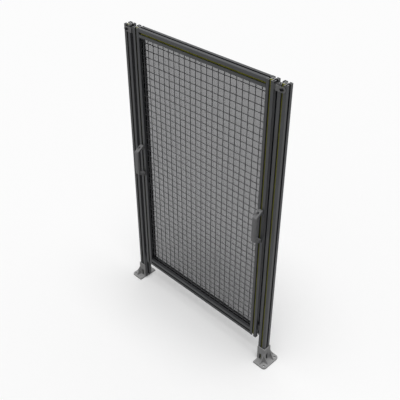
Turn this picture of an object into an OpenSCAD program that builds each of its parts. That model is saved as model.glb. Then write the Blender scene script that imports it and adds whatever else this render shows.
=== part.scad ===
// Machine guard fence panel: two slotted aluminium posts on cast feet carry a
// framed infill of welded wire mesh and tinted sheet, with two lifting handles.
// Units are millimetres. X runs along the fence, -Y is the operator's side and
// Z is up. The origin is on the underside of the left foot, on the axis of its
// post.

/* [Node] */

// Which node is drawn, or all of them

/* [Fence] */

// Overall height of the posts above the floor
post_height = 1700; // [1200:10:2200]
// Distance between the axes of the two posts
post_spacing = 1008; // [700:1:1600]
// Space between the floor and the framed panel
ground_clearance = 150; // [80:5:200]
// Free space between a post and the panel's stile beside it
side_gap = 22.5; // [12:0.5:40]

/* [Slotted profile] */

// Width of the square profile of posts, stiles and rails
profile_size = 45; // [40:1:60]
// Rounding of the profile's four outer edges
profile_edge_r = 2; // [0.5:0.5:4]
// Width of the slot's mouth
slot_mouth = 11.2; // [8:0.1:12]
// Thickness of the lips beside the mouth
slot_lip = 4.5; // [3:0.5:6]
// Width of the undercut behind the lips
slot_undercut = 20; // [16:0.5:22]
// Depth of the slot from the outer face to its floor
slot_depth = 12.5; // [11:0.5:14]
// Thickness of the diagonal webs between slots
web = 2.1; // [1.5:0.1:3]
// Wall left around the hollow corners
corner_wall = 2; // [1.5:0.1:3]
// Bore along the profile's core
core_bore_d = 10; // [6:0.5:12]

/* [Slot strips] */

// Thickness of the coloured strip on the floor of each front slot
strip_t = 1.5; // [1:0.1:3]
// Play of the strip between the slot's flanks
strip_play = 0.4; // [0.1:0.1:1]

/* [Wire mesh] */

// Distance from wire to wire
mesh_pitch = 37.5; // [25:0.5:50]
// Thickness of a wire
wire_t = 4; // [2:0.1:5]
// How far crossing wires sink into one another where they are welded
weld_sink = 0.8; // [0.3:0.1:1.5]
// Distance from the opening's left edge to the first upright wire
first_upright = 9.75; // [5:0.25:35]
// Distance from the panel's top to the uppermost level wire
first_level = 35.5; // [34:0.5:44]
// How far the mesh and the sheet reach into the slots of the frame
infill_insert = 10; // [6:0.5:11]

/* [Handles] */

// Overall height of a handle
handle_height = 200; // [150:5:260]
// Width of a handle across its grip
handle_width = 26; // [20:1:36]
// Distance from the stile to the front of the grip
handle_reach = 50; // [40:1:70]
// Thickness of the grip from front to back
grip_t = 15; // [10:1:20]
// Length of the grip between its two legs
grip_length = 146; // [110:2:200]
// Rounding of the grip's edges
grip_r = 5; // [2:0.5:7]
// Height of the foot pad at the end of each leg
pad_height = 24; // [18:1:40]
// Thickness of the foot pad
pad_t = 8; // [5:0.5:12]
// Distance from the end of the handle to its screw
handle_screw_inset = 12.5; // [9:0.5:20]

/* [Screws] */

// Diameter of the screws' shanks
screw_d = 8; // [6:1:10]
// Diameter of the screws' round heads
screw_head_d = 13; // [10:0.5:16]
// Height of the round heads of the handles' screws
screw_head_h = 8; // [4:0.5:10]
// Height of the low heads of the top plates' screws
low_head_h = 4.5; // [3:0.5:6]
// Width across flats of the hexagon socket in a head
socket_af = 6; // [4:0.5:8]
// Share of a head's height that the hexagon socket reaches down
socket_share = 0.5; // [0.3:0.05:0.7]
// Play around a screw's shank in its hole
screw_play = 0.5; // [0.2:0.1:1]
// Play around a screw's head in its counterbore
head_play = 1; // [0.5:0.1:2]

/* [Top plates and blocks] */

// Height of the plate screwed to the front of each post
plate_height = 26; // [20:1:45]
// Thickness of that plate
plate_t = 3; // [2:0.5:6]
// Distance from the post's outer edge to the plate's round end
plate_setback = 3; // [0:0.5:12]
// How far the plate reaches past the post over the side gap
plate_overlap = 11; // [6:0.5:20]
// Distance from the top of the posts to the plate's upper edge
plate_drop = 10; // [5:1:60]
// Length of the slotted hole in the plate
plate_slot = 26; // [12:1:30]
// Height of the block behind the plate, held in the stile's slot
upper_block_height = 26; // [16:1:45]
// Depth of the lower block from front to back; the upper one reaches as far back
block_depth = 25; // [16:1:32]
// Height of the lower block that spans the side gap
lower_block_height = 40; // [25:1:60]
// Height of the lower block's centre above the panel's lower edge
lower_block_rise = 76; // [40:1:200]
// Bevel on the blocks' edges
block_bevel = 2; // [0.5:0.5:4]
// How far the blocks' tongues reach into the slots
tongue_depth = 4; // [2:0.5:4.5]
// Play of a tongue in the slot's mouth
tongue_play = 0.4; // [0.2:0.1:1]
// Play between the upper block and the post
upper_block_play = 1; // [0.5:0.5:3]

/* [Feet] */

// How far the base plate stands out from the post in front, behind and outside
base_margin = 42; // [25:1:70]
// How far the base plate stays back from the post's inner face
base_setback = 4; // [0:1:12]
// Thickness of the base plate
base_t = 10; // [6:1:16]
// Rounding of the two outer corners of the base plate
base_corner_r = 18; // [8:1:25]
// Diameter of the anchor holes
anchor_d = 12; // [8:0.5:16]
// Distance of the anchor holes from the faces of the post
anchor_offset = 24; // [15:0.5:32]
// Thickness of the socket's three walls
socket_wall = 5; // [4:0.5:8]
// Height of the socket above the floor
socket_top = 105; // [80:1:150]
// Width of the arched windows in the walls
window_w = 12; // [8:0.5:16]
// Height of the windows' arched tops above the floor
window_top = 57; // [30:1:70]
// Thickness of the ribs
rib_t = 5; // [4:0.5:8]
// Height at which the ribs meet the socket
rib_top = 75; // [50:1:100]
// Height of the ribs' blunt outer end above the base plate
rib_tip = 3; // [1:0.5:8]
// Distance of the ribs' outer end from the edge of the base plate
rib_inset = 5; // [2:0.5:12]
// How much the ribs' sloping edge is hollowed
rib_hollow = 2; // [0.5:0.5:6]

/* [Hidden] */

$fn = 32;
eps = 0.01;

half = profile_size / 2;
panel_left = half + side_gap;
panel_right = post_spacing - half - side_gap;
panel_width = panel_right - panel_left;
panel_bottom = ground_clearance;
panel_top = post_height;
panel_mid = (panel_bottom + panel_top) / 2;
opening_left = panel_left + profile_size;
opening_right = panel_right - profile_size;
opening_bottom = panel_bottom + profile_size;
opening_top = panel_top - profile_size;
left_stile_x = panel_left + half;
right_stile_x = panel_right - half;

core_half = half - slot_depth;
floor_half = core_half - web / sqrt(2);
corner_box = half - corner_wall - slot_undercut / 2 - corner_wall;
strip_w = 2 * floor_half - strip_play;
strip_front = -half + slot_depth - strip_t;

sheet_t = slot_mouth - (2 * wire_t - weld_sink);
sheet_front = slot_mouth / 2 - sheet_t;
level_y = sheet_front - wire_t / 2;
upright_y = level_y - wire_t + weld_sink;
mesh_levels = floor((panel_top - first_level - opening_bottom + infill_insert) / mesh_pitch) + 1;
mesh_uprights = floor((opening_right + infill_insert - opening_left - first_upright) / mesh_pitch) + 1;
band_levels = ceil(mesh_levels / 3);

screw_reach = 9;
window_r = window_w / 2;

// ---- Section of the slotted profile ----

// One T-shaped slot, entering the section from its lower side
module slot_2d() {
    polygon([
        [-slot_mouth / 2, -half - 1], [slot_mouth / 2, -half - 1],
        [slot_mouth / 2, -half + slot_lip], [slot_undercut / 2, -half + slot_lip],
        [slot_undercut / 2, -slot_undercut / 2 - web / sqrt(2)],
        [floor_half, -core_half],
        [-floor_half, -core_half],
        [-slot_undercut / 2, -slot_undercut / 2 - web / sqrt(2)],
        [-slot_undercut / 2, -half + slot_lip], [-slot_mouth / 2, -half + slot_lip]
    ]);
}

// Square section with four slots, hollow corners and a bored core
module profile_2d() {
    difference() {
        offset(r = profile_edge_r, $fn = 16)
            square(profile_size - 2 * profile_edge_r, center = true);
        for (a = [0 : 90 : 270]) rotate(a) {
            slot_2d();
            translate([slot_undercut / 2 + corner_wall, slot_undercut / 2 + corner_wall])
                square(corner_box);
        }
        circle(d = core_bore_d, $fn = 24);
    }
}

// Upright length of profile standing at x between two heights
module upright_profile(x, z0, z1) {
    translate([x, 0, z0]) linear_extrude(z1 - z0) profile_2d();
}

// Level length of profile between the stiles, centred at height z
module level_profile(z) {
    translate([opening_left, 0, z]) rotate([0, 90, 0])
        linear_extrude(opening_right - opening_left) profile_2d();
}

// Strip on the floor of an upright front slot
module upright_strip(x, z0, z1) {
    translate([x - strip_w / 2, strip_front, z0]) cube([strip_w, strip_t, z1 - z0]);
}

// Strip on the floor of a level front slot
module level_strip(z) {
    translate([opening_left, strip_front, z - strip_w / 2])
        cube([opening_right - opening_left, strip_t, strip_w]);
}

// ---- Posts, frame and their strips ----

module left_post() { color("dimgray") upright_profile(0, base_t, post_height); }
module right_post() { color("dimgray") upright_profile(post_spacing, base_t, post_height); }
module left_stile() { color("dimgray") upright_profile(left_stile_x, panel_bottom, panel_top); }
module right_stile() { color("dimgray") upright_profile(right_stile_x, panel_bottom, panel_top); }
module top_rail() { color("dimgray") level_profile(panel_top - half); }
module bottom_rail() { color("dimgray") level_profile(panel_bottom + half); }

module left_post_strip() { color("olive") upright_strip(0, base_t, post_height); }
module right_post_strip() { color("olive") upright_strip(post_spacing, base_t, post_height); }
module left_stile_strip() { color("olive") upright_strip(left_stile_x, panel_bottom, panel_top); }
module right_stile_strip() { color("olive") upright_strip(right_stile_x, panel_bottom, panel_top); }
module top_rail_strip() { color("olive") level_strip(panel_top - half); }
module bottom_rail_strip() { color("olive") level_strip(panel_bottom + half); }

// ---- Infill ----

// Band of welded mesh: level wires number first to last, with the uprights
// that cross them from height z0 to z1
module mesh_band(first, last, z0, z1) {
    union() {
        for (k = [0 : mesh_uprights - 1])
            translate([opening_left + first_upright + k * mesh_pitch - wire_t / 2,
                       upright_y - wire_t / 2, z0])
                cube([wire_t, wire_t, z1 - z0]);
        for (k = [first : last])
            translate([opening_left - infill_insert, level_y - wire_t / 2,
                       level_z(k) - wire_t / 2])
                cube([opening_right - opening_left + 2 * infill_insert, wire_t, wire_t]);
    }
}

// Height of level wire number k, counted from the top
function level_z(k) = panel_top - first_level - k * mesh_pitch;

// Height of the joint between two bands, half a pitch below level wire k
function band_joint(k) = level_z(k) - mesh_pitch / 2;

module upper_mesh() {
    color("gray") mesh_band(0, band_levels - 1,
                            band_joint(band_levels - 1), opening_top + infill_insert);
}
module middle_mesh() {
    color("gray") mesh_band(band_levels, 2 * band_levels - 1,
                            band_joint(2 * band_levels - 1), band_joint(band_levels - 1));
}
module lower_mesh() {
    color("gray") mesh_band(2 * band_levels, mesh_levels - 1,
                            opening_bottom - infill_insert, band_joint(2 * band_levels - 1));
}

module tinted_sheet() {
    color("darkgray")
        translate([opening_left - infill_insert, sheet_front, opening_bottom - infill_insert])
            cube([opening_right - opening_left + 2 * infill_insert, sheet_t,
                  opening_top - opening_bottom + 2 * infill_insert]);
}

// ---- Handles ----

// Rounded section of the grip, seen from above
module grip_2d() {
    translate([0, -half - handle_reach + grip_t / 2])
        offset(r = grip_r, $fn = 24)
            square([handle_width - 2 * grip_r, grip_t - 2 * grip_r], center = true);
}

// Straight grip, centred on the panel's mid height
module handle_grip(x) {
    translate([x, 0, panel_mid - grip_length / 2]) linear_extrude(grip_length) grip_2d();
}

// Sloping leg with a foot pad and a counterbored screw hole; side is 1 for the
// upper leg and -1 for the lower one
module handle_leg(x, side) {
    translate([x, 0, panel_mid]) mirror([0, 0, side > 0 ? 0 : 1]) difference() {
        hull() {
            translate([0, 0, grip_length / 2]) linear_extrude(1) grip_2d();
            translate([0, -half, handle_height / 2 - pad_height / 2]) rotate([90, 0, 0])
                linear_extrude(pad_t / 2) pad_2d(0);
            translate([0, -half - pad_t / 2, handle_height / 2 - pad_height / 2])
                rotate([90, 0, 0]) linear_extrude(pad_t / 2) pad_2d(1);
        }
        translate([0, -half + 1, handle_height / 2 - handle_screw_inset]) rotate([90, 0, 0])
            cylinder(d = screw_d + 2 * screw_play, h = handle_reach);
        translate([0, -half - pad_t, handle_height / 2 - handle_screw_inset]) rotate([90, 0, 0])
            cylinder(d = screw_head_d + 2 * head_play, h = handle_reach);
    }
}

// Outline of the foot pad, drawn in by inset
module pad_2d(inset) {
    offset(r = grip_r - inset, $fn = 24)
        square([handle_width - 2 * grip_r, pad_height - 2 * grip_r], center = true);
}

// Round-headed screw pointing into the slot behind it, its head seated at y
module screw(y, head_h) {
    rotate([90, 0, 0]) difference() {
        union() {
            translate([0, 0, -y]) cylinder(d = screw_head_d, h = head_h);
            translate([0, 0, half - screw_reach]) cylinder(d = screw_d, h = -y - half + screw_reach + eps);
        }
        translate([0, 0, -y + head_h * (1 - socket_share)])
            cylinder(d = socket_af / cos(30), h = head_h, $fn = 6);
    }
}

// Both screws of one handle
module handle_screws(x) {
    for (side = [-1, 1])
        translate([x, 0, panel_mid + side * (handle_height / 2 - handle_screw_inset)])
            screw(-half - pad_t, screw_head_h);
}

module left_handle_grip() { color("gray") handle_grip(left_stile_x); }
module left_handle_upper_leg() { color("gray") handle_leg(left_stile_x, 1); }
module left_handle_lower_leg() { color("gray") handle_leg(left_stile_x, -1); }
module left_handle_screws() { color("silver") handle_screws(left_stile_x); }
module right_handle_grip() { color("gray") handle_grip(right_stile_x); }
module right_handle_upper_leg() { color("gray") handle_leg(right_stile_x, 1); }
module right_handle_lower_leg() { color("gray") handle_leg(right_stile_x, -1); }
module right_handle_screws() { color("silver") handle_screws(right_stile_x); }

// ---- Top plates and blocks, drawn for the left post ----

// Copies its children to the right post by mirroring about the middle
module right_side() {
    translate([post_spacing, 0, 0]) mirror([1, 0, 0]) children();
}

// Plate over the post's front and part of the gap, with a slotted hole
module top_plate() {
    r = plate_height / 2;
    translate([0, -half, post_height - plate_drop - r]) rotate([90, 0, 0])
        linear_extrude(plate_t) difference() {
            union() {
                translate([-half + plate_setback + r, 0]) circle(r, $fn = 48);
                translate([-half + plate_setback + r, -r])
                    square([2 * half - plate_setback - r + plate_overlap, plate_height]);
            }
            hull() for (s = [-1, 1])
                translate([s * (plate_slot - screw_d - 2 * screw_play) / 2, 0])
                    circle(d = screw_d + 2 * screw_play, $fn = 24);
        }
}

// Screw through the plate's slotted hole into the post
module plate_screw() {
    translate([0, 0, post_height - plate_drop - plate_height / 2]) screw(-half - plate_t, low_head_h);
}

// Bevelled block in the side gap from x0 to x1 and y0 to y1, centred at height z
module gap_block(x0, x1, y0, y1, h, z) {
    translate([x0, 0, z]) rotate([0, 90, 0]) linear_extrude(x1 - x0)
        translate([0, (y0 + y1) / 2]) offset(delta = block_bevel, chamfer = true)
            square([h - 2 * block_bevel, y1 - y0 - 2 * block_bevel], center = true);
}

// Tongue that keys a block into the slot of the profile beside it
module tongue(x0, h, z) {
    translate([x0, -slot_mouth / 2 + tongue_play / 2, z - h / 2 + block_bevel])
        cube([tongue_depth, slot_mouth - tongue_play, h - 2 * block_bevel]);
}

// Block in the stile's slot, kept in place by the plate in front of it
module upper_block() {
    z = post_height - plate_drop - plate_height / 2;
    gap_block(half + upper_block_play, panel_left, -half, block_depth / 2,
              upper_block_height, z);
    translate([-eps, 0, 0]) tongue(panel_left, upper_block_height, z);
}

// Block keyed into the slots of both the post and the stile
module lower_block() {
    z = panel_bottom + lower_block_rise;
    gap_block(half, panel_left, -block_depth / 2, block_depth / 2, lower_block_height, z);
    translate([-eps, 0, 0]) tongue(panel_left, lower_block_height, z);
    translate([eps, 0, 0]) tongue(half - tongue_depth, lower_block_height, z);
}

module left_top_plate() { color("slategray") top_plate(); }
module right_top_plate() { color("slategray") right_side() top_plate(); }
module left_plate_screw() { color("silver") plate_screw(); }
module right_plate_screw() { color("silver") right_side() plate_screw(); }
module left_upper_block() { color("black") upper_block(); }
module right_upper_block() { color("black") right_side() upper_block(); }
module left_lower_block() { color("black") lower_block(); }
module right_lower_block() { color("black") right_side() lower_block(); }

// ---- Cast feet, drawn for the left post ----

// Outline of the base plate: square at the panel's side, round outside
module base_2d() {
    hull() {
        for (s = [-1, 1]) {
            translate([-half - base_margin + base_corner_r, s * (half + base_margin - base_corner_r)])
                circle(base_corner_r, $fn = 48);
            translate([half - base_setback - 1, s * (half + base_margin - 1)])
                circle(1, $fn = 12);
        }
    }
}

// Side view of a rib: runs out from the origin along x, its sloping edge an
// arc that is hollowed by rib_hollow
module rib_2d() {
    run = base_margin - socket_wall - rib_inset;
    drop = rib_top - base_t - rib_tip;
    slope = atan2(drop, run);
    chord = norm([run, drop]);
    arc_r = (chord * chord / 4 + rib_hollow * rib_hollow) / (2 * rib_hollow);
    difference() {
        polygon([[0, 0], [run, 0], [run, rib_tip], [0, rib_tip + drop]]);
        translate([run / 2, rib_tip + drop / 2])
            translate((arc_r - rib_hollow) * [sin(slope), cos(slope)])
                circle(arc_r, $fn = 180);
    }
}

// Rib of the given thickness standing on the base plate
module rib() {
    translate([0, 0, base_t - eps]) rotate([90, 0, 0])
        linear_extrude(rib_t) rib_2d();
}

// Arched window through a wall, seen along its thickness
module window() {
    translate([-window_r, base_t]) square([window_w, window_top - base_t - window_r]);
    translate([0, window_top - window_r]) circle(window_r, $fn = 32);
}

module foot() {
    outer = half + socket_wall;
    difference() {
        union() {
            linear_extrude(base_t) base_2d();
            // three socket walls
            translate([-outer, -outer, base_t - eps])
                cube([half + outer, 2 * outer, socket_top - base_t + eps]);
            // ribs in line with the walls
            for (s = [-1, 1]) {
                translate([-outer, s > 0 ? outer : -half, 0]) mirror([1, 0, 0])
                    rib();
                translate([s > 0 ? -outer : -half, s * outer, 0]) rotate([0, 0, s * 90])
                    rib();
            }
        }
        // seat of the post
        translate([-half, -half, base_t]) cube([profile_size + 1, profile_size, socket_top]);
        // windows in the front, back and outer wall
        rotate([90, 0, 0]) linear_extrude(3 * outer, center = true) window();
        translate([-half, 0, 0]) rotate([90, 0, -90]) linear_extrude(2 * socket_wall) window();
        // anchor holes
        for (s = [-1, 1])
            translate([-half - anchor_offset, s * (half + anchor_offset), -1])
                cylinder(d = anchor_d, h = base_t + 2);
    }
}

module left_foot() { color("gray") foot(); }
module right_foot() { color("gray") right_side() foot(); }

// ---- Draw ----

left_post();
right_post();
left_foot();
right_foot();
left_stile();
right_stile();
top_rail();
bottom_rail();
left_post_strip();
right_post_strip();
left_stile_strip();
right_stile_strip();
top_rail_strip();
bottom_rail_strip();
upper_mesh();
middle_mesh();
lower_mesh();
tinted_sheet();
left_handle_grip();
left_handle_upper_leg();
left_handle_lower_leg();
left_handle_screws();
right_handle_grip();
right_handle_upper_leg();
right_handle_lower_leg();
right_handle_screws();
left_top_plate();
right_top_plate();
left_plate_screw();
right_plate_screw();
left_upper_block();
right_upper_block();
left_lower_block();
right_lower_block();
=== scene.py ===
# Machine guard fence panel: slotted aluminium posts and frame, cast feet,
# welded mesh in front of smoke-tinted sheet, and two bridge handles.
import math

import bmesh
import bpy
from bpy.props import FloatProperty, FloatVectorProperty, IntProperty, PointerProperty
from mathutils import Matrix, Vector


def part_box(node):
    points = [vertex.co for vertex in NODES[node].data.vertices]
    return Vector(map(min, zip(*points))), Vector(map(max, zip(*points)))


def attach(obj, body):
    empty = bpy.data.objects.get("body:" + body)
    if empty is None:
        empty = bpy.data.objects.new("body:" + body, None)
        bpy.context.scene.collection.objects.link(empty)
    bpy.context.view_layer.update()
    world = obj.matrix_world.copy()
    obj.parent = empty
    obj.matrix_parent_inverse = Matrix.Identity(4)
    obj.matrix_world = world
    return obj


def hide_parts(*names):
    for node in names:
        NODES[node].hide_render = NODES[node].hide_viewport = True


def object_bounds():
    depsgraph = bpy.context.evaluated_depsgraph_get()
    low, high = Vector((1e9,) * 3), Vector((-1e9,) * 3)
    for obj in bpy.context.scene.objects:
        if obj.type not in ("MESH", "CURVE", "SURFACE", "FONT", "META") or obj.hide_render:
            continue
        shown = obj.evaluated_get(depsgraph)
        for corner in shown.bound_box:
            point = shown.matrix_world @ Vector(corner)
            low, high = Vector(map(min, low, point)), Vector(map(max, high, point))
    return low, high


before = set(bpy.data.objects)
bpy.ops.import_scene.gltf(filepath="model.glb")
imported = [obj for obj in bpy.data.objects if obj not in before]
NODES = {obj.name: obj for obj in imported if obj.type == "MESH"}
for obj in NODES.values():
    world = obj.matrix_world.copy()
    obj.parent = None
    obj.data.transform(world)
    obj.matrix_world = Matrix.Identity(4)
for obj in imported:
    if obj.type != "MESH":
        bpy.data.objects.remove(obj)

bl_info = {
    "name": "Machine guard fence panel",
    "version": (1, 0, 0),
    "blender": (4, 5, 0),
    "location": "View3D > Sidebar > Fence",
    "description": "Finishes the guard fence panel and sets its stage",
    "category": "Object",
}

CAD_LOW, CAD_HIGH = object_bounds()
ROOT = "root"

UPRIGHT_PROFILES = ("left_post", "right_post", "left_stile", "right_stile")
LEVEL_PROFILES = ("top_rail", "bottom_rail")
STRIPS = tuple(node + "_strip" for node in UPRIGHT_PROFILES + LEVEL_PROFILES)
MESH_BANDS = ("upper_mesh", "middle_mesh", "lower_mesh")
FEET = ("left_foot", "right_foot")
PLATES = ("left_top_plate", "right_top_plate")
BLOCKS = ("left_upper_block", "right_upper_block", "left_lower_block", "right_lower_block")
HANDLES = ("left_handle", "right_handle")
HANDLE_SCREWS = ("left_handle_screws", "right_handle_screws")
PLATE_SCREWS = ("left_plate_screw", "right_plate_screw")

X_AXIS, Z_AXIS = 0, 2

# metres
SAME_PLACE = 1e-5           # points nearer to a plane than this are on it
PAD_CORNER_SPARE = 0.0004   # what a pad's corner keeps inside the long edges' rounding
POCKET_REACH = 0.1          # how far a pocket's cutter stands out in front of the screw
FLOOR_GAP = 0.0002          # keeps the floor and the feet out of one plane

# edges sharper than this are softened
EDGE_ANGLE = math.radians(35)
MOULDED_ANGLE = math.radians(40)

# steps and sides of the round forms
EDGE_STEPS = 2
CORNER_STEPS = 6
ROUND_STEPS = 5
WELD_SIDES = 8
POCKET_SIDES = 48

# shares
WIRE_END_WIDTH = 0.75       # a wire's domed end to its diameter
WIRE_END_LENGTH = 0.35      # the dome's length to the wire's radius
EASE_SHARE = 0.5            # how far one easing takes a point towards its neighbours
GRAIN_DEPTH = 0.15          # a plastic grain's depth to its width
ROUGHNESS_SWING = 0.08      # how far a grain takes the roughness up and down


# ---- Settings ----

def linear(hex_value):
    """An sRGB hex value such as "8a8d90" as linear red, green and blue."""
    channels = [int(hex_value[k:k + 2], 16) / 255 for k in (0, 2, 4)]
    return tuple(c / 12.92 if c <= 0.04045 else ((c + 0.055) / 1.055) ** 2.4 for c in channels)


def colour_property(name, description, hex_value):
    """A colour setting whose default is an sRGB hex value."""
    return FloatVectorProperty(
        name=name, description=description, subtype="COLOR", size=3,
        min=0.0, max=1.0, default=linear(hex_value),
    )


class FenceFinish(bpy.types.PropertyGroup):
    """Colours of the fence's materials."""

    anodised: colour_property("Profiles", "Anodised skin of the posts, stiles and rails", "444547")
    bare_cut: colour_property("Sawn ends", "Bare aluminium at the profiles' sawn ends", "8e8f91")
    casting: colour_property("Cast feet", "Paint on the cast feet", "969696")
    strip: colour_property("Slot strips", "Extruded PVC in the front slots", "a9a939")
    wire: colour_property("Wire", "Powder coat on the mesh", "3e3e40")
    tint: colour_property("Sheet tint", "Smoke tint of the sheet", "888889")
    handle: colour_property("Handles", "Moulded nylon of the handles", "707071")
    plate: colour_property("Plates", "Powder coat on the top plates", "707071")
    block: colour_property("Blocks", "Moulded nylon of the blocks", "1e1e1f")
    zinc: colour_property("Handle screws", "Zinc plating on the handles' screws", "96989b")
    black_oxide: colour_property("Plate screws", "Black oxide on the plates' screws", "222224")


class FenceSizes(bpy.types.PropertyGroup):
    """Sizes of the details that are added to the fence."""

    wire: FloatProperty(
        name="Wire diameter", description="Diameter of the mesh's round wire",
        default=0.004, min=0.001, max=0.01, unit="LENGTH",
    )
    wire_sides: IntProperty(
        name="Wire sides", description="Sides of a wire's round section",
        default=10, min=6, max=16,
    )
    weld: FloatProperty(
        name="Weld", description="Width of the weld nugget where two wires cross",
        default=0.0052, min=0.001, max=0.012, unit="LENGTH",
    )
    pad: FloatProperty(
        name="Handle pad", description="Thickness of a handle's foot pads",
        default=0.008, min=0.002, max=0.02, unit="LENGTH",
    )
    pad_height: FloatProperty(
        name="Handle pad height", description="Height of a handle's foot pads",
        default=0.024, min=0.01, max=0.05, unit="LENGTH",
    )
    grip_round: FloatProperty(
        name="Grip rounding", description="Rounding of a handle's long edges",
        default=0.0045, min=0.001, max=0.007, unit="LENGTH",
    )
    handle_corner: FloatProperty(
        name="Handle corner", description="Rounding of a handle's outer corners from the side",
        default=0.009, min=0.005, max=0.02, unit="LENGTH",
    )
    handle_fillet: FloatProperty(
        name="Handle fillet", description="Rounding inside a handle's corners from the side",
        default=0.006, min=0.001, max=0.02, unit="LENGTH",
    )
    pocket_play: FloatProperty(
        name="Pocket play", description="Gap round a screw head in a handle's pocket",
        default=0.0005, min=0.0, max=0.003, unit="LENGTH",
    )
    profile_edge: FloatProperty(
        name="Profile edge", description="Softening of the extruded edges",
        default=0.0004, min=0.0, max=0.002, unit="LENGTH",
    )
    strip_edge: FloatProperty(
        name="Strip edge", description="Softening of the slot strips' edges",
        default=0.0002, min=0.0, max=0.001, unit="LENGTH",
    )
    cast_skin: FloatProperty(
        name="Cast skin", description="Spacing of the points on the casting's surface",
        default=0.00125, min=0.0008, max=0.003, unit="LENGTH",
    )
    cast_rounding: IntProperty(
        name="Cast rounding", description="How often the casting's edges and roots are eased",
        default=8, min=0, max=20,
    )
    moulded_edge: FloatProperty(
        name="Moulded edge", description="Softening of moulded plastic edges",
        default=0.0006, min=0.0, max=0.003, unit="LENGTH",
    )
    sheet_metal_edge: FloatProperty(
        name="Sheet metal edge", description="Softening of punched and turned edges",
        default=0.0003, min=0.0, max=0.002, unit="LENGTH",
    )


class StageSettings(bpy.types.PropertyGroup):
    """Floor, lights and camera."""

    floor: colour_property("Floor", "Colour of the floor where it is seen", "fbfbfb")
    bounce: colour_property("Floor bounce", "Colour the floor throws at the fence", "5c5c5c")
    floor_reach: FloatProperty(
        name="Floor reach", description="Half the floor's width",
        default=40.0, min=2.0, unit="LENGTH",
    )
    azimuth: FloatProperty(
        name="Azimuth", description="Direction the camera looks from",
        default=math.radians(45), unit="ROTATION",
    )
    elevation: FloatProperty(
        name="Elevation", description="Height of the camera above the horizon",
        default=math.radians(35.264), unit="ROTATION",
    )
    view_angle: FloatProperty(
        name="View angle", description="Angle that the camera takes in",
        default=math.radians(35), unit="ROTATION",
    )
    distance: FloatProperty(
        name="Distance", description="Distance from the camera to the fence's middle",
        default=3.4191, min=0.5, unit="LENGTH",
    )
    aim_shift: FloatVectorProperty(
        name="Aim shift", description="How far the camera aims from the fence's middle",
        default=(0.0, 0.0019, 0.0029), subtype="TRANSLATION", unit="LENGTH", size=3,
    )
    top_light: FloatProperty(
        name="Top light", description="Strength of the broad light overhead",
        default=2.15, min=0.0,
    )
    top_spread: FloatProperty(
        name="Top light spread", description="Breadth of the overhead light, softening its shadow",
        default=math.radians(44), min=0.0, max=math.radians(180), unit="ROTATION",
    )
    top_tilt: FloatProperty(
        name="Top light tilt", description="How far the overhead light leans to the fence's front",
        default=math.radians(8), unit="ROTATION",
    )
    top_turn: FloatProperty(
        name="Top light turn", description="Turn of that lean from the front to the right",
        default=math.radians(45), unit="ROTATION",
    )
    sky: FloatProperty(
        name="Surround", description="Strength of the even light from all round",
        default=0.33, min=0.0,
    )


# ---- Small tools ----

def add_node(tree, kind, settings=None, values=None, links=None):
    """Adds a node, sets its fields and inputs, and links its inputs from other sockets."""
    node = tree.nodes.new(kind)
    for field, value in (settings or {}).items():
        setattr(node, field, value)
    for socket, value in (values or {}).items():
        node.inputs[socket].default_value = value
    for socket, source in (links or {}).items():
        tree.links.new(source, node.inputs[socket])
    return node


def new_material(name):
    """An empty node material with its output node."""
    material = bpy.data.materials.new(name)
    material.use_nodes = True
    material.node_tree.nodes.clear()
    output = material.node_tree.nodes.new("ShaderNodeOutputMaterial")
    return material, material.node_tree, output


def soften(obj, edge, angle):
    """Rounds the edges of an object that are sharper than the angle."""
    bevel = obj.modifiers.new("soft_edges", "BEVEL")
    bevel.width = edge
    bevel.segments = EDGE_STEPS
    bevel.limit_method = "ANGLE"
    bevel.angle_limit = angle
    bevel.harden_normals = True
    bevel.use_clamp_overlap = True


def finish_node(node, material, edge=0.0):
    """Gives a CAD node its material, and softens its edges where edge is more than 0."""
    obj = NODES[node]
    obj.data.materials.clear()
    obj.data.materials.append(material)
    if edge > 0.0:
        soften(obj, edge, EDGE_ANGLE)


def settle(obj):
    """Makes what an object's modifiers show its own mesh, and removes them."""
    bpy.context.view_layer.update()
    shown = obj.evaluated_get(bpy.context.evaluated_depsgraph_get())
    mesh = bpy.data.meshes.new_from_object(shown)
    obj.modifiers.clear()
    obj.data = mesh


def join_rings(bm, rings):
    """Joins rings of points, one after the other, into a closed form with flat ends."""
    for near, far in zip(rings, rings[1:]):
        for k in range(len(near)):
            bm.faces.new((near[k], near[k - 1], far[k - 1], far[k]))
    bm.faces.new(rings[0])
    bm.faces.new(list(reversed(rings[-1])))


def shape_object(name, bm):
    """An object in the scene with the shape held in bm."""
    mesh = bpy.data.meshes.new(name)
    bm.to_mesh(mesh)
    bm.free()
    obj = bpy.data.objects.new(name, mesh)
    bpy.context.scene.collection.objects.link(obj)
    return obj


def new_piece(name, bm, material):
    """A smooth-shaded piece with the shape held in bm, which rides on the fence."""
    piece = shape_object(name, bm)
    piece.data.materials.append(material)
    for face in piece.data.polygons:
        face.use_smooth = True
    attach(piece, ROOT)
    return piece


# ---- Materials ----
# A noise texture's scale is its number of features per metre.

def varied(tree, colour, pattern, low, high, span=(0.0, 1.0)):
    """The colour times low to high, as the pattern goes through its span."""
    shade = add_node(tree, "ShaderNodeMapRange",
                     values={"From Min": span[0], "From Max": span[1],
                             "To Min": low, "To Max": high},
                     links={"Value": pattern})
    mixed = add_node(tree, "ShaderNodeMix", {"data_type": "RGBA", "blend_type": "MULTIPLY"},
                     {0: 1.0, 6: (*colour, 1.0)}, {7: shade.outputs["Result"]})
    return mixed.outputs[2]


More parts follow.
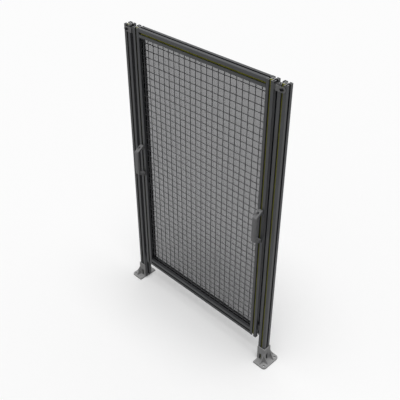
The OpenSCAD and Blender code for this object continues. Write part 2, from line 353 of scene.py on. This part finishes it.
def opaque_surface(tree, output, values, base, roughness, height, strength, depth):
    """Joins a colour, a roughness and a relief of the given depth to the output."""
    bump = add_node(tree, "ShaderNodeBump", values={"Strength": strength, "Distance": depth},
                    links={"Height": height})
    shader = add_node(tree, "ShaderNodeBsdfPrincipled", values=values,
                      links={"Base Color": base, "Roughness": roughness,
                             "Normal": bump.outputs["Normal"]})
    tree.links.new(shader.outputs[0], output.inputs[0])


def anodised_aluminium(name, colour, cut_colour, along):
    """Extruded and anodised aluminium: satin, with die lines along its length
    and bright sawn ends. along is the axis of the length."""
    material, tree, output = new_material(name)
    place = add_node(tree, "ShaderNodeTexCoord")
    # die lines are about 0.8 mm apart and run on for about 0.7 m
    stretch = [1250.0] * 3
    stretch[along] = 1.5
    lined = add_node(tree, "ShaderNodeMapping", values={"Scale": stretch},
                     links={"Vector": place.outputs["Object"]})
    lines = add_node(tree, "ShaderNodeTexNoise",
                     values={"Scale": 1.0, "Detail": 3.0, "Roughness": 0.6},
                     links={"Vector": lined.outputs["Vector"]})
    # the dye takes unevenly in fine clouds, drawn about 110 mm across so that they show
    cloud = add_node(tree, "ShaderNodeTexNoise", values={"Scale": 9.0, "Detail": 2.0},
                     links={"Vector": place.outputs["Object"]})
    dyed = varied(tree, colour, cloud.outputs["Fac"], low=0.93, high=1.07, span=(0.3, 0.7))
    # sawn ends are the faces nearly square to the length
    facing = add_node(tree, "ShaderNodeSeparateXYZ", links={0: place.outputs["Normal"]})
    square = add_node(tree, "ShaderNodeMath", {"operation": "ABSOLUTE"},
                      links={0: facing.outputs[along]})
    cut = add_node(tree, "ShaderNodeMath", {"operation": "GREATER_THAN"}, {1: 0.9},
                   {0: square.outputs["Value"]})
    # saw marks are arcs about 0.9 mm apart round a blade's far middle: at scale 1 a wave
    # texture repeats every pi / 10 metres
    saw_place = add_node(tree, "ShaderNodeMapping", values={"Location": (0.12, 0.03, 0.0)},
                         links={"Vector": place.outputs["Object"]})
    saw = add_node(tree, "ShaderNodeTexWave",
                   {"wave_type": "RINGS", "rings_direction": "Z" if along == Z_AXIS else "X"},
                   {"Scale": 350.0, "Distortion": 0.6, "Detail": 1.0},
                   {"Vector": saw_place.outputs["Vector"]})
    bare = varied(tree, cut_colour, saw.outputs["Fac"], low=0.86, high=1.06)
    base = add_node(tree, "ShaderNodeMix", {"data_type": "RGBA"},
                    links={0: cut.outputs["Value"], 6: dyed, 7: bare})
    rough = add_node(tree, "ShaderNodeMapRange",
                     values={"From Min": 0.3, "From Max": 0.7, "To Min": 0.36, "To Max": 0.5},
                     links={"Value": lines.outputs["Fac"]})
    relief = add_node(tree, "ShaderNodeMix", {"data_type": "FLOAT"},
                      links={0: cut.outputs["Value"], 2: lines.outputs["Fac"],
                             3: saw.outputs["Fac"]})
    # the oxide skin scatters light over the metal, so it looks only half metallic
    opaque_surface(tree, output, {"Metallic": 0.5}, base.outputs[2], rough.outputs["Result"],
                   relief.outputs[0], strength=0.25, depth=0.00005)
    return material


def die_cast_paint(name, colour):
    """Painted die-cast aluminium: a fine orange peel over shallow flow marks, which make
    its grey soft and a little uneven."""
    material, tree, output = new_material(name)
    place = add_node(tree, "ShaderNodeTexCoord")
    # orange peel has lumps about 1.2 mm across. Flow marks are finer than the 22 mm that
    # they are drawn at, so that they show.
    peel = add_node(tree, "ShaderNodeTexNoise", values={"Scale": 850.0, "Detail": 2.0},
                    links={"Vector": place.outputs["Object"]})
    flow = add_node(tree, "ShaderNodeTexNoise",
                    values={"Scale": 45.0, "Detail": 3.0, "Distortion": 1.2},
                    links={"Vector": place.outputs["Object"]})
    base = varied(tree, colour, flow.outputs["Fac"], low=0.92, high=1.06, span=(0.3, 0.7))
    rough = add_node(tree, "ShaderNodeMapRange", values={"To Min": 0.42, "To Max": 0.6},
                     links={"Value": flow.outputs["Fac"]})
    height = add_node(tree, "ShaderNodeMath", {"operation": "ADD"},
                      links={0: peel.outputs["Fac"], 1: flow.outputs["Fac"]})
    opaque_surface(tree, output, {"IOR": 1.5}, base, rough.outputs["Result"],
                   height.outputs["Value"], strength=0.5, depth=0.0002)
    return material


def grained_plastic(name, colour, grain_mm, roughness):
    """Moulded nylon or extruded PVC: matt, because its fine grain breaks up the shine."""
    material, tree, output = new_material(name)
    place = add_node(tree, "ShaderNodeTexCoord")
    grain = add_node(tree, "ShaderNodeTexNoise",
                     values={"Scale": 1000.0 / grain_mm, "Detail": 2.0, "Roughness": 0.7},
                     links={"Vector": place.outputs["Object"]})
    # the pigment's fine clouds are drawn about 33 mm across so that they show
    cloud = add_node(tree, "ShaderNodeTexNoise", values={"Scale": 30.0, "Detail": 2.0},
                     links={"Vector": place.outputs["Object"]})
    base = varied(tree, colour, cloud.outputs["Fac"], low=0.94, high=1.06)
    rough = add_node(tree, "ShaderNodeMapRange",
                     values={"To Min": roughness - ROUGHNESS_SWING,
                             "To Max": roughness + ROUGHNESS_SWING},
                     links={"Value": grain.outputs["Fac"]})
    opaque_surface(tree, output, {"IOR": 1.53}, base, rough.outputs["Result"],
                   grain.outputs["Fac"], strength=0.3, depth=GRAIN_DEPTH * grain_mm / 1000)
    return material


def powder_coat(name, colour):
    """Powder-coated steel: satin, with a fine peel that spreads its highlights."""
    material, tree, output = new_material(name)
    place = add_node(tree, "ShaderNodeTexCoord")
    # the peel is about 0.9 mm across. The coat's thick and thin places are drawn about
    # 45 mm across so that they show.
    peel = add_node(tree, "ShaderNodeTexNoise", values={"Scale": 1100.0, "Detail": 1.0},
                    links={"Vector": place.outputs["Object"]})
    cloud = add_node(tree, "ShaderNodeTexNoise", values={"Scale": 22.0, "Detail": 2.0},
                     links={"Vector": place.outputs["Object"]})
    base = varied(tree, colour, cloud.outputs["Fac"], low=0.93, high=1.07)
    rough = add_node(tree, "ShaderNodeMapRange", values={"To Min": 0.38, "To Max": 0.52},
                     links={"Value": peel.outputs["Fac"]})
    opaque_surface(tree, output, {"IOR": 1.5}, base, rough.outputs["Result"],
                   peel.outputs["Fac"], strength=0.25, depth=0.00008)
    return material


def plated_steel(name, colour, roughness):
    """Turned steel with a zinc or black oxide skin: a fine fleck breaks up its shine."""
    material, tree, output = new_material(name)
    place = add_node(tree, "ShaderNodeTexCoord")
    # the fleck is about 1.7 mm across
    fleck = add_node(tree, "ShaderNodeTexNoise", values={"Scale": 600.0, "Detail": 3.0},
                     links={"Vector": place.outputs["Object"]})
    base = varied(tree, colour, fleck.outputs["Fac"], low=0.9, high=1.08)
    rough = add_node(tree, "ShaderNodeMapRange",
                     values={"To Min": roughness - ROUGHNESS_SWING,
                             "To Max": roughness + ROUGHNESS_SWING},
                     links={"Value": fleck.outputs["Fac"]})
    opaque_surface(tree, output, {"Metallic": 1.0}, base, rough.outputs["Result"],
                   fleck.outputs["Fac"], strength=0.2, depth=0.00005)
    return material


def smoke_polycarbonate(name, colour):
    """Extruded polycarbonate with a smoke tint: clear and smooth, with flow streaks along
    its height that are only just seen."""
    material, tree, output = new_material(name)
    place = add_node(tree, "ShaderNodeTexCoord")
    # streaks are about 40 mm wide and run the sheet's whole height
    drawn = add_node(tree, "ShaderNodeMapping",
                     values={"Scale": (25.0, 25.0, 0.6)},
                     links={"Vector": place.outputs["Object"]})
    streak = add_node(tree, "ShaderNodeTexNoise", values={"Scale": 1.0, "Detail": 1.0},
                      links={"Vector": drawn.outputs["Vector"]})
    base = varied(tree, colour, streak.outputs["Fac"], low=0.985, high=1.015)
    # polycarbonate's IOR of 1.58 is brought down, so that the mesh shows only faintly in it
    sheet = add_node(tree, "ShaderNodeBsdfPrincipled",
                     values={"IOR": 1.2, "Roughness": 0.0, "Transmission Weight": 1.0},
                     links={"Base Color": base})
    # tinted light falls through on what lies behind
    path = add_node(tree, "ShaderNodeLightPath")
    through = add_node(tree, "ShaderNodeBsdfTransparent", links={"Color": base})
    mix = add_node(tree, "ShaderNodeMixShader",
                   links={0: path.outputs["Is Shadow Ray"], 1: sheet.outputs[0],
                          2: through.outputs[0]})
    tree.links.new(mix.outputs[0], output.inputs[0])
    return material


def background_rays(tree):
    """A value that is 1 for what is seen straight, in a reflection or through the sheet."""
    path = add_node(tree, "ShaderNodeLightPath")
    straight = add_node(tree, "ShaderNodeMath", {"operation": "MAXIMUM"},
                        links={0: path.outputs["Is Camera Ray"],
                               1: path.outputs["Is Transmission Ray"]})
    seen = add_node(tree, "ShaderNodeMath", {"operation": "MAXIMUM"},
                    links={0: straight.outputs["Value"], 1: path.outputs["Is Glossy Ray"]})
    return seen.outputs["Value"]


def studio_floor(name, colour, bounce):
    """Matt studio paper: an even pale surface that keeps the fence's shadow. It is seen in
    its colour, and throws light back at the fence only as its bounce colour would."""
    material, tree, output = new_material(name)
    place = add_node(tree, "ShaderNodeTexCoord")
    # the paper's fibre clouds are about 7 mm across
    fibre = add_node(tree, "ShaderNodeTexNoise", values={"Scale": 140.0, "Detail": 2.0},
                     links={"Vector": place.outputs["Object"]})
    paper = varied(tree, colour, fibre.outputs["Fac"], low=0.99, high=1.01)
    base = add_node(tree, "ShaderNodeMix", {"data_type": "RGBA"}, {6: (*bounce, 1.0)},
                    {0: background_rays(tree), 7: paper})
    shader = add_node(tree, "ShaderNodeBsdfPrincipled",
                      values={"Roughness": 0.95, "Specular IOR Level": 0.0},
                      links={"Base Color": base.outputs[2]})
    tree.links.new(shader.outputs[0], output.inputs[0])
    return material


# ---- Wire mesh ----

def add_wire(bm, start, end, radius, sides):
    """A round wire with a slightly domed cut end."""
    axis = (end - start).normalized()
    side = axis.orthogonal().normalized()
    up = axis.cross(side)
    stations = [(0.0, WIRE_END_WIDTH), (radius * WIRE_END_LENGTH, 1.0)]
    length = (end - start).length
    stations += [(length - offset, scale) for offset, scale in reversed(stations)]
    rings = []
    for distance, scale in stations:
        ring = []
        for k in range(sides):
            turn = 2 * math.pi * k / sides
            spread = side * math.cos(turn) + up * math.sin(turn)
            ring.append(bm.verts.new(start + axis * distance + spread * radius * scale))
        rings.append(ring)
    join_rings(bm, rings)


def add_weld(bm, x, z, front, back, radius, width):
    """A squeezed nugget joining an upright wire at front to a level one at back."""
    rings = []
    for y, spread in ((front, radius), ((front + back) / 2, width / 2), (back, radius)):
        ring = []
        for k in range(WELD_SIDES):
            turn = math.pi * (2 * k + 1) / WELD_SIDES
            ring.append(bm.verts.new((x + spread * math.cos(turn), y,
                                      z + spread * math.sin(turn))))
        rings.append(ring)
    join_rings(bm, rings)


def bar_positions(points, face_y, axis):
    """Middles of a band's parallel bars, from the corners on their outer face to 0.01 mm."""
    places = sorted({round(p[axis], 5) for p in points if abs(p.y - face_y) < SAME_PLACE})
    return [(a + b) / 2 for a, b in zip(places[0::2], places[1::2])]


class FENCE_OT_mesh(bpy.types.Operator):
    """Builds the welded mesh from round wires in place of the plain bars"""

    bl_idname = "fence.mesh"
    bl_label = "Wire mesh"

    def execute(self, context):
        sizes = context.scene.fence_sizes
        coat = powder_coat("powder_coated_steel_wire", context.scene.fence_finish.wire)
        radius = sizes.wire / 2
        for node in MESH_BANDS:
            low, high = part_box(node)
            points = [v.co for v in NODES[node].data.vertices]
            uprights = bar_positions(points, low[1], X_AXIS)
            levels = bar_positions(points, high[1], Z_AXIS)
            front, back = low[1] + radius, high[1] - radius
            bm = bmesh.new()
            for x in uprights:
                add_wire(bm, Vector((x, front, low[2])), Vector((x, front, high[2])),
                         radius, sizes.wire_sides)
            for z in levels:
                add_wire(bm, Vector((low[0], back, z)), Vector((high[0], back, z)),
                         radius, sizes.wire_sides)
            for x in uprights:
                for z in levels:
                    add_weld(bm, x, z, front, back, radius, sizes.weld)
            wires = new_piece(node + "_wires", bm, coat)
            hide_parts(node)
        return {"FINISHED"}


# ---- Bridge handles ----

def rounded_outline(corners, steps):
    """Points along a closed outline. A corner is its two coordinates and its rounding."""
    points = []
    for k, (across, height, radius) in enumerate(corners):
        corner = Vector((across, height))
        back = (Vector(corners[k - 1][:2]) - corner).normalized()
        ahead = (Vector(corners[(k + 1) % len(corners)][:2]) - corner).normalized()
        if radius == 0.0:
            points.append(corner)
            continue
        half_angle = back.angle(ahead) / 2
        centre = corner + (back + ahead).normalized() * radius / math.sin(half_angle)
        first = (corner + back * radius / math.tan(half_angle) - centre).normalized()
        last = (corner + ahead * radius / math.tan(half_angle) - centre).normalized()
        for i in range(steps + 1):
            points.append(centre + first.slerp(last, i / steps).normalized() * radius)
    return points


def drawn_in(outline, wall, inset):
    """The outline moved inwards by inset. Points on the wall only slide along it."""
    area = sum(a.cross(b) for a, b in zip(outline, outline[1:] + outline[:1]))
    way = 1.0 if area > 0 else -1.0
    moved = []
    for k, point in enumerate(outline):
        back = (point - outline[k - 1]).normalized()
        ahead = (outline[(k + 1) % len(outline)] - point).normalized()
        normals = [Vector((-edge.y, edge.x)) * way for edge in (back, ahead)]
        if abs(point.x - wall) < SAME_PLACE:
            free = min(normals, key=lambda normal: abs(normal.x))
            moved.append(point + Vector((0.0, inset / free.y)))
        else:
            spread = 1.0 + normals[0].dot(normals[1])
            moved.append(point + (normals[0] + normals[1]) * inset / spread)
    return moved


def handle_body(grip, upper, lower, sizes):
    """A bridge handle: its side outline drawn across its width, with rounded long edges."""
    grip_low, grip_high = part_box(grip)
    wall, front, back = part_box(upper)[1][1], grip_low[1], grip_high[1]
    top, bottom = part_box(upper)[1][2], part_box(lower)[0][2]
    shoulder = grip_high[2], grip_low[2]
    outer, fillet = sizes.handle_corner, sizes.handle_fillet
    pad_corner = sizes.grip_round + PAD_CORNER_SPARE
    pad_face = wall - sizes.pad
    corners = [
        (wall, top, 0.0), (pad_face, top, pad_corner), (front, shoulder[0], outer),
        (front, shoulder[1], outer), (pad_face, bottom, pad_corner), (wall, bottom, 0.0),
        (wall, bottom + sizes.pad_height, 0.0), (back, shoulder[1], fillet),
        (back, shoulder[0], fillet), (wall, top - sizes.pad_height, 0.0),
    ]
    outline = rounded_outline(corners, CORNER_STEPS)
    middle = (grip_low[0] + grip_high[0]) / 2
    half_width = (grip_high[0] - grip_low[0]) / 2
    side = []
    for k in range(ROUND_STEPS + 1):
        turn = math.pi / 2 * k / ROUND_STEPS
        inset = sizes.grip_round * (1.0 - math.sin(turn))
        side.append((half_width - sizes.grip_round * (1.0 - math.cos(turn)), inset))
    stations = [(-x, inset) for x, inset in side] + [(x, inset) for x, inset in reversed(side)]
    bm = bmesh.new()
    rings = [[bm.verts.new((middle + x, p.x, p.y)) for p in drawn_in(outline, wall, inset)]
             for x, inset in stations]
    join_rings(bm, rings)
    bmesh.ops.recalc_face_normals(bm, faces=bm.faces[:])
    return bm


def screw_heads(node):
    """Boxes round a handle's two screws, the lower one and the upper one."""
    low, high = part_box(node)
    width = high[0] - low[0]
    return [(Vector((low[0], low[1], z)), Vector((high[0], high[1], z + width)))
            for z in (low[2], high[2] - width)]


def pocket(low, high, pad_face, play):
    """The space that a screw head and its driver need, from the pad's face to the front."""
    radius = (high.x - low.x) / 2 + play
    middle = (low + high) / 2
    bm = bmesh.new()
    near, far = [], []
    for k in range(POCKET_SIDES):
        turn = 2 * math.pi * k / POCKET_SIDES
        x, z = middle.x + radius * math.cos(turn), middle.z + radius * math.sin(turn)
        near.append(bm.verts.new((x, pad_face, z)))
        far.append(bm.verts.new((x, low.y - POCKET_REACH, z)))
    join_rings(bm, [near, far])
    bmesh.ops.recalc_face_normals(bm, faces=bm.faces[:])
    return bm


def carve(obj, bm):
    """Cuts the shape held in bm out of an object's mesh."""
    cutter = shape_object("cutter", bm)
    cut = obj.modifiers.new("pocket", "BOOLEAN")
    cut.object = cutter
    cut.solver = "EXACT"
    settle(obj)
    bpy.data.meshes.remove(cutter.data)


class FENCE_OT_handles(bpy.types.Operator):
    """Builds each bridge handle as one moulding in place of its grip and two legs"""

    bl_idname = "fence.handles"
    bl_label = "Handles"

    def execute(self, context):
        sizes = context.scene.fence_sizes
        nylon = grained_plastic("moulded_glass_filled_nylon", context.scene.fence_finish.handle,
                                grain_mm=0.8, roughness=0.55)
        for name in HANDLES:
            grip, upper, lower = name + "_grip", name + "_upper_leg", name + "_lower_leg"
            handle = new_piece(name, handle_body(grip, upper, lower, sizes), nylon)
            pad_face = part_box(upper)[1][1] - sizes.pad
            for screw_low, screw_high in screw_heads(name + "_screws"):
                carve(handle, pocket(screw_low, screw_high, pad_face, sizes.pocket_play))
            handle.data.set_sharp_from_angle(angle=MOULDED_ANGLE)
            soften(handle, sizes.moulded_edge, MOULDED_ANGLE)
            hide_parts(grip, upper, lower)
        return {"FINISHED"}


# ---- Cast feet ----

def cast_form(node, material, spacing, easing):
    """A foot as the mould leaves it: its edges and the roots of its ribs are rounded."""
    bm = bmesh.new()
    bm.from_mesh(NODES[node].data)
    casting = new_piece(node + "_casting", bm, material)
    skin = casting.modifiers.new("skin", "REMESH")
    skin.mode = "VOXEL"
    skin.voxel_size = spacing
    skin.use_smooth_shade = True
    rounding = casting.modifiers.new("rounding", "SMOOTH")
    rounding.factor = EASE_SHARE
    rounding.iterations = easing
    settle(casting)
    return casting


class FENCE_OT_feet(bpy.types.Operator):
    """Builds the cast feet"""

    bl_idname = "fence.feet"
    bl_label = "Cast feet"

    def execute(self, context):
        sizes = context.scene.fence_sizes
        paint = die_cast_paint("painted_die_cast_aluminium", context.scene.fence_finish.casting)
        for node in FEET:
            casting = cast_form(node, paint, sizes.cast_skin, sizes.cast_rounding)
            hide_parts(node)
        return {"FINISHED"}


# ---- Pieces that keep their CAD solids ----

class FENCE_OT_profiles(bpy.types.Operator):
    """Finishes the slotted posts, stiles and rails"""

    bl_idname = "fence.profiles"
    bl_label = "Slotted profiles"

    def execute(self, context):
        finish = context.scene.fence_finish
        edge = context.scene.fence_sizes.profile_edge
        upright = anodised_aluminium("anodised_extruded_aluminium_upright",
                                     finish.anodised, finish.bare_cut, Z_AXIS)
        level = anodised_aluminium("anodised_extruded_aluminium_level",
                                   finish.anodised, finish.bare_cut, X_AXIS)
        for node in UPRIGHT_PROFILES:
            finish_node(node, upright, edge)
        for node in LEVEL_PROFILES:
            finish_node(node, level, edge)
        return {"FINISHED"}


class FENCE_OT_strips(bpy.types.Operator):
    """Finishes the coloured strips in the front slots"""

    bl_idname = "fence.strips"
    bl_label = "Slot strips"

    def execute(self, context):
        pvc = grained_plastic("extruded_pvc_strip", context.scene.fence_finish.strip,
                              grain_mm=0.9, roughness=0.5)
        for node in STRIPS:
            finish_node(node, pvc, context.scene.fence_sizes.strip_edge)
        return {"FINISHED"}


class FENCE_OT_sheet(bpy.types.Operator):
    """Finishes the tinted sheet behind the mesh"""

    bl_idname = "fence.sheet"
    bl_label = "Tinted sheet"

    def execute(self, context):
        tint = context.scene.fence_finish.tint
        finish_node("tinted_sheet", smoke_polycarbonate("smoke_tinted_polycarbonate", tint))
        return {"FINISHED"}


class FENCE_OT_fittings(bpy.types.Operator):
    """Finishes the top plates, the blocks and all screws"""

    bl_idname = "fence.fittings"
    bl_label = "Plates, blocks and screws"

    def execute(self, context):
        finish = context.scene.fence_finish
        sizes = context.scene.fence_sizes
        coat = powder_coat("powder_coated_steel_plate", finish.plate)
        nylon = grained_plastic("moulded_black_nylon", finish.block, grain_mm=0.8, roughness=0.5)
        zinc = plated_steel("zinc_plated_steel", finish.zinc, roughness=0.32)
        black = plated_steel("black_oxide_steel", finish.black_oxide, roughness=0.42)
        for node in PLATES:
            finish_node(node, coat, sizes.sheet_metal_edge)
        for node in BLOCKS:
            finish_node(node, nylon, sizes.moulded_edge)
        for node in HANDLE_SCREWS:
            finish_node(node, zinc, sizes.sheet_metal_edge)
        for node in PLATE_SCREWS:
            finish_node(node, black, sizes.sheet_metal_edge)
        return {"FINISHED"}


# ---- Stage ----

class FENCE_OT_stage(bpy.types.Operator):
    """Sets the floor, the lights and the camera"""

    bl_idname = "fence.stage"
    bl_label = "Stage"

    def execute(self, context):
        stage = context.scene.fence_stage
        middle = (CAD_LOW + CAD_HIGH) / 2
        self.make_floor(stage, middle)
        self.make_lights(context.scene, stage)
        self.make_camera(context.scene, stage, middle)
        context.scene.view_settings.view_transform = "Standard"
        return {"FINISHED"}

    def make_floor(self, stage, middle):
        """A wide floor just under the feet."""
        bm = bmesh.new()
        reach, height = stage.floor_reach, CAD_LOW.z - FLOOR_GAP
        corners = [bm.verts.new((middle.x + reach * x_way, middle.y + reach * y_way, height))
                   for x_way, y_way in ((-1, -1), (1, -1), (1, 1), (-1, 1))]
        bm.faces.new(corners)
        floor = shape_object("floor", bm)
        paper = studio_floor("matt_studio_paper", stage.floor, stage.bounce)
        floor.data.materials.append(paper)

    def make_lights(self, scene, stage):
        """A broad soft light overhead and an even surround that shows as white."""
        lamp = bpy.data.lights.new("overhead", "SUN")
        lamp.energy = stage.top_light
        lamp.angle = stage.top_spread
        overhead = bpy.data.objects.new("overhead", lamp)
        aim = Vector((-math.sin(stage.top_turn) * math.sin(stage.top_tilt),
                      math.cos(stage.top_turn) * math.sin(stage.top_tilt),
                      -math.cos(stage.top_tilt)))
        overhead.rotation_mode = "QUATERNION"
        overhead.rotation_quaternion = aim.to_track_quat("-Z", "Y")
        scene.collection.objects.link(overhead)

        world = bpy.data.worlds.new("surround")
        scene.world = world
        world.use_nodes = True
        tree = world.node_tree
        tree.nodes.clear()
        # the even light falls on the fence, and what is seen behind it is white
        light = add_node(tree, "ShaderNodeBackground",
                         values={"Color": (1, 1, 1, 1), "Strength": stage.sky})
        backdrop = add_node(tree, "ShaderNodeBackground",
                            values={"Color": (1, 1, 1, 1), "Strength": 1.0})
        mix = add_node(tree, "ShaderNodeMixShader",
                       links={0: background_rays(tree), 1: light.outputs[0],
                              2: backdrop.outputs[0]})
        add_node(tree, "ShaderNodeOutputWorld", links={0: mix.outputs[0]})

    def make_camera(self, scene, stage, middle):
        """A camera aimed at the fence's middle, which sees the floor's far corners too."""
        camera_data = bpy.data.cameras.new("camera")
        camera_data.lens = camera_data.sensor_width / 2 / math.tan(stage.view_angle / 2)
        camera_data.clip_end = 5 * stage.floor_reach
        camera = bpy.data.objects.new("camera", camera_data)
        back = Vector((math.sin(stage.azimuth) * math.cos(stage.elevation),
                       -math.cos(stage.azimuth) * math.cos(stage.elevation),
                       math.sin(stage.elevation)))
        camera.location = middle + Vector(stage.aim_shift) + back * stage.distance
        camera.rotation_mode = "QUATERNION"
        camera.rotation_quaternion = (-back).to_track_quat("-Z", "Y")
        scene.collection.objects.link(camera)
        scene.camera = camera


# ---- Panel and registration ----

class FENCE_PT_panel(bpy.types.Panel):
    """Lists the fence's steps and settings"""

    bl_idname = "FENCE_PT_panel"
    bl_label = "Guard fence panel"
    bl_space_type = "VIEW_3D"
    bl_region_type = "UI"
    bl_category = "Fence"

    def draw(self, context):
        layout = self.layout
        scene = context.scene
        for group in (scene.fence_finish, scene.fence_sizes, scene.fence_stage):
            box = layout.box()
            for field in group.bl_rna.properties.keys():
                if field not in {"rna_type", "name"}:
                    box.prop(group, field)
        for operator in OPERATORS:
            layout.operator(operator.bl_idname)


# in the order in which they run
OPERATORS = (
    FENCE_OT_profiles, FENCE_OT_strips, FENCE_OT_mesh, FENCE_OT_sheet,
    FENCE_OT_feet, FENCE_OT_handles, FENCE_OT_fittings, FENCE_OT_stage,
)
CLASSES = (FenceFinish, FenceSizes, StageSettings, *OPERATORS, FENCE_PT_panel)


def register():
    for item in CLASSES:
        bpy.utils.register_class(item)
    bpy.types.Scene.fence_finish = PointerProperty(type=FenceFinish)
    bpy.types.Scene.fence_sizes = PointerProperty(type=FenceSizes)
    bpy.types.Scene.fence_stage = PointerProperty(type=StageSettings)


def unregister():
    del bpy.types.Scene.fence_stage
    del bpy.types.Scene.fence_sizes
    del bpy.types.Scene.fence_finish
    for item in reversed(CLASSES):
        bpy.utils.unregister_class(item)


def main():
    """Builds every piece and the stage."""
    register()
    bpy.ops.fence.profiles()
    bpy.ops.fence.strips()
    bpy.ops.fence.mesh()
    bpy.ops.fence.sheet()
    bpy.ops.fence.feet()
    bpy.ops.fence.handles()
    bpy.ops.fence.fittings()
    bpy.ops.fence.stage()


if __name__ == "__main__":
    main()
